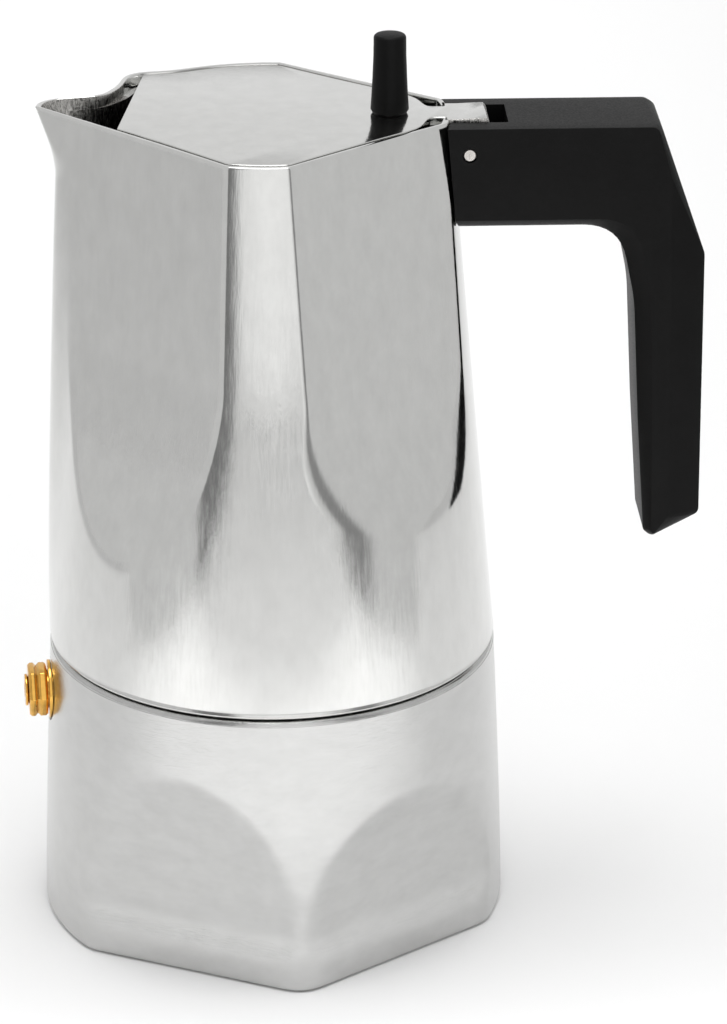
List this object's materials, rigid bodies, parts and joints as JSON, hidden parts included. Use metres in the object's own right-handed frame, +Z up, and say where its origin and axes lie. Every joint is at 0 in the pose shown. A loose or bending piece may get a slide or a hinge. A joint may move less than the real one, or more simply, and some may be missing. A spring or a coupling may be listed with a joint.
{
  "type": "stovetop espresso pot",
  "caption": "Aluminium stovetop espresso pot with a faceted collector, flat hinged lid, scooped boiler and angular black handle.",
  "frame": {"origin": "on the pot's axis, at the underside of the base", "axes": "+Z up along the pot's axis, +X towards the handle, -X towards the spout"},
  "size_m": [0.1513, 0.1048, 0.2042],
  "materials": {
    "satin_aluminium": "satin, fine grain",
    "polished_aluminium": "mirror polished",
    "valve_brass": "turned, bright",
    "spring_steel": "drawn wire",
    "fastener_steel": "plain",
    "gasket_rubber": "matt",
    "black_plastic": "fine matt moulding"
  },
  "bodies": {
    "boiler": {"boiler": "satin_aluminium", "valve_washer": "valve_brass", "valve_body": "valve_brass", "valve_cap": "valve_brass", "valve_spring": "spring_steel"},
    "relief_plunger": {"valve_plunger": "valve_brass"},
    "funnel": {"funnel": "satin_aluminium", "funnel_sieve": "satin_aluminium"},
    "filter_stack": {"gasket": "gasket_rubber", "filter_plate": "satin_aluminium"},
    "collector": {"collector": "polished_aluminium", "handle": "black_plastic", "hinge_pin": "fastener_steel", "handle_washer": "fastener_steel", "handle_screw": "fastener_steel"},
    "lid": {"lid": "polished_aluminium", "lid_knob": "black_plastic", "knob_washer": "fastener_steel", "knob_screw": "fastener_steel"}
  },
  "joints": [
    {"name": "valve_lift", "type": "slide", "parent": "boiler", "child": "relief_plunger", "axis": [-0.9957, -0.0924, 0], "range_m": [0, 0.0012], "stiffness_N_per_m": 500, "springref_m": -0.002, "deforming": ["valve_spring"]},
    {"name": "funnel_lift", "type": "slide", "parent": "boiler", "child": "funnel", "axis": [0, 0, 1], "range_m": [0, 0.07]},
    {"name": "thread_rise", "type": "slide", "parent": "funnel", "child": "filter_stack", "axis": [0, 0, 1], "range_m": [0, 0.0091]},
    {"name": "unscrew", "type": "hinge", "parent": "filter_stack", "child": "collector", "pos_m": [0, 0, 0.0655], "axis": [0, 0, 1], "range_deg": [0, 1080]},
    {"name": "lid_hinge", "type": "hinge", "parent": "collector", "child": "lid", "pos_m": [0.0428, 0, 0.18], "axis": [0, 1, 0], "range_deg": [0, 95]}
  ],
  "couplings": [
    {"joint": "thread_rise", "follows": "unscrew", "m_per_rad": 0.00047746}
  ]
}
